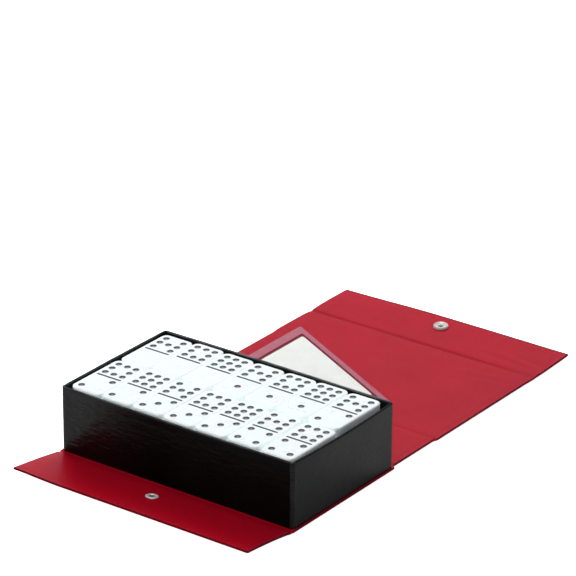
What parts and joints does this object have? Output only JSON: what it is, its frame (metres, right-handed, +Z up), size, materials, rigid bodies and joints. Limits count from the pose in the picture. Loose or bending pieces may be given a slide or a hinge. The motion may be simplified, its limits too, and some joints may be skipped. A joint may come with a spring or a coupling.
{
  "type": "boxed domino set",
  "caption": "Open tray of white pipped domino tiles in four layers, glued in a folding vinyl cover with a snap fastener and an inner pocket.",
  "frame": {"origin": "centre of the tray's footprint, at table level, on the underside of the cover's base panel", "axes": "+X along the tray's long side, +Y from the tray towards the spine and the opened lid, +Z up"},
  "size_m": [0.1914, 0.376, 0.0505],
  "materials": {
    "tile_ivory": "polished moulded plastic with recessed painted pips",
    "black_leatherette": "embossed leatherette wrap with fine wrinkles",
    "lining_paper": "matt black lining paper",
    "chipboard": "grey chipboard",
    "red_vinyl": "satin soft vinyl sheet, heat welded at its edges and creases",
    "clear_vinyl": "thin clear vinyl sheet",
    "white_card": "uncoated white card",
    "nickel_snap": "nickel plate"
  },
  "bodies": {
    "tray": {"tray_floor_board": "chipboard", "tray_front_board": "chipboard", "tray_back_board": "chipboard", "tray_left_board": "chipboard", "tray_right_board": "chipboard", "tray_wrap": "black_leatherette", "tray_lining": "lining_paper", "base_board": "chipboard", "base_vinyl_inner": "red_vinyl", "base_vinyl_outer": "red_vinyl", "crease_front": "red_vinyl", "crease_back": "red_vinyl"},
    "front_flap": {"front_flap_board": "chipboard", "front_flap_vinyl_inner": "red_vinyl", "front_flap_vinyl_outer": "red_vinyl", "snap_post": "nickel_snap", "snap_stud": "nickel_snap"},
    "spine": {"spine_board": "chipboard", "spine_vinyl_inner": "red_vinyl", "spine_vinyl_outer": "red_vinyl", "crease_lid": "red_vinyl"},
    "lid": {"lid_board": "chipboard", "lid_vinyl_inner": "red_vinyl", "lid_vinyl_outer": "red_vinyl", "crease_snap_flap": "red_vinyl", "pocket_sheet": "clear_vinyl"},
    "score_card": {"score_card": "white_card"},
    "snap_flap": {"snap_flap_board": "chipboard", "snap_flap_vinyl_inner": "red_vinyl", "snap_flap_vinyl_outer": "red_vinyl", "snap_socket": "nickel_snap", "snap_cap": "nickel_snap"},
    "tiles_layer_1": {"tiles_layer_1": "tile_ivory"},
    "tiles_layer_2": {"tiles_layer_2": "tile_ivory"},
    "tiles_layer_3": {"tiles_layer_3": "tile_ivory"},
    "tile_7_0": {"tile_7_0": "tile_ivory"},
    "tile_8_0": {"tile_8_0": "tile_ivory"},
    "tile_9_0": {"tile_9_0": "tile_ivory"},
    "tile_7_1": {"tile_7_1": "tile_ivory"},
    "tile_8_1": {"tile_8_1": "tile_ivory"},
    "tile_9_1": {"tile_9_1": "tile_ivory"},
    "tile_7_2": {"tile_7_2": "tile_ivory"},
    "tile_8_2": {"tile_8_2": "tile_ivory"},
    "tile_9_2": {"tile_9_2": "tile_ivory"},
    "tile_7_3": {"tile_7_3": "tile_ivory"},
    "tile_8_3": {"tile_8_3": "tile_ivory"},
    "tile_9_3": {"tile_9_3": "tile_ivory"},
    "tile_7_4": {"tile_7_4": "tile_ivory"},
    "tile_8_4": {"tile_8_4": "tile_ivory"}
  },
  "joints": [
    {"name": "fold_front_flap", "type": "hinge", "parent": "tray", "child": "front_flap", "pos_m": [0, -0.0576, 0.0025], "axis": [-1, 0, 0], "range_deg": [0, 83.5]},
    {"name": "fold_spine", "type": "hinge", "parent": "tray", "child": "spine", "pos_m": [0, 0.0572, 0.0025], "axis": [1, 0, 0], "range_deg": [0, 90]},
    {"name": "fold_lid", "type": "hinge", "parent": "spine", "child": "lid", "pos_m": [0, 0.1061, 0.0025], "axis": [1, 0, 0], "range_deg": [0, 90]},
    {"name": "fold_snap_flap", "type": "hinge", "parent": "lid", "child": "snap_flap", "pos_m": [0, 0.2257, 0.0025], "axis": [1, 0, 0], "range_deg": [0, 87.5]},
    {"name": "slide_score_card", "type": "slide", "parent": "lid", "child": "score_card", "axis": [0.4609, 0.8875, 0], "range_m": [0, 0.045]},
    {"name": "lift_layer_1", "type": "slide", "parent": "tray", "child": "tiles_layer_1", "axis": [0, 0, -1], "range_m": [-0.055, 0]},
    {"name": "lift_layer_2", "type": "slide", "parent": "tiles_layer_1", "child": "tiles_layer_2", "axis": [0, 0, -1], "range_m": [-0.045, 0]},
    {"name": "lift_layer_3", "type": "slide", "parent": "tiles_layer_2", "child": "tiles_layer_3", "axis": [0, 0, -1], "range_m": [-0.035, 0]},
    {"name": "lift_tile_7_0", "type": "slide", "parent": "tiles_layer_3", "child": "tile_7_0", "axis": [0, 0, -1], "range_m": [-0.03, 0]},
    {"name": "lift_tile_8_0", "type": "slide", "parent": "tiles_layer_3", "child": "tile_8_0", "axis": [0, 0, -1], "range_m": [-0.03, 0]},
    {"name": "lift_tile_9_0", "type": "slide", "parent": "tiles_layer_3", "child": "tile_9_0", "axis": [0, 0, -1], "range_m": [-0.03, 0]},
    {"name": "lift_tile_7_1", "type": "slide", "parent": "tiles_layer_3", "child": "tile_7_1", "axis": [0, 0, -1], "range_m": [-0.03, 0]},
    {"name": "lift_tile_8_1", "type": "slide", "parent": "tiles_layer_3", "child": "tile_8_1", "axis": [0, 0, -1], "range_m": [-0.03, 0]},
    {"name": "lift_tile_9_1", "type": "slide", "parent": "tiles_layer_3", "child": "tile_9_1", "axis": [0, 0, -1], "range_m": [-0.03, 0]},
    {"name": "lift_tile_7_2", "type": "slide", "parent": "tiles_layer_3", "child": "tile_7_2", "axis": [0, 0, -1], "range_m": [-0.03, 0]},
    {"name": "lift_tile_8_2", "type": "slide", "parent": "tiles_layer_3", "child": "tile_8_2", "axis": [0, 0, -1], "range_m": [-0.03, 0]},
    {"name": "lift_tile_9_2", "type": "slide", "parent": "tiles_layer_3", "child": "tile_9_2", "axis": [0, 0, -1], "range_m": [-0.03, 0]},
    {"name": "lift_tile_7_3", "type": "slide", "parent": "tiles_layer_3", "child": "tile_7_3", "axis": [0, 0, -1], "range_m": [-0.03, 0]},
    {"name": "lift_tile_8_3", "type": "slide", "parent": "tiles_layer_3", "child": "tile_8_3", "axis": [0, 0, -1], "range_m": [-0.03, 0]},
    {"name": "lift_tile_9_3", "type": "slide", "parent": "tiles_layer_3", "child": "tile_9_3", "axis": [0, 0, -1], "range_m": [-0.03, 0]},
    {"name": "lift_tile_7_4", "type": "slide", "parent": "tiles_layer_3", "child": "tile_7_4", "axis": [0, 0, -1], "range_m": [-0.03, 0]},
    {"name": "lift_tile_8_4", "type": "slide", "parent": "tiles_layer_3", "child": "tile_8_4", "axis": [0, 0, -1], "range_m": [-0.03, 0]}
  ]
}
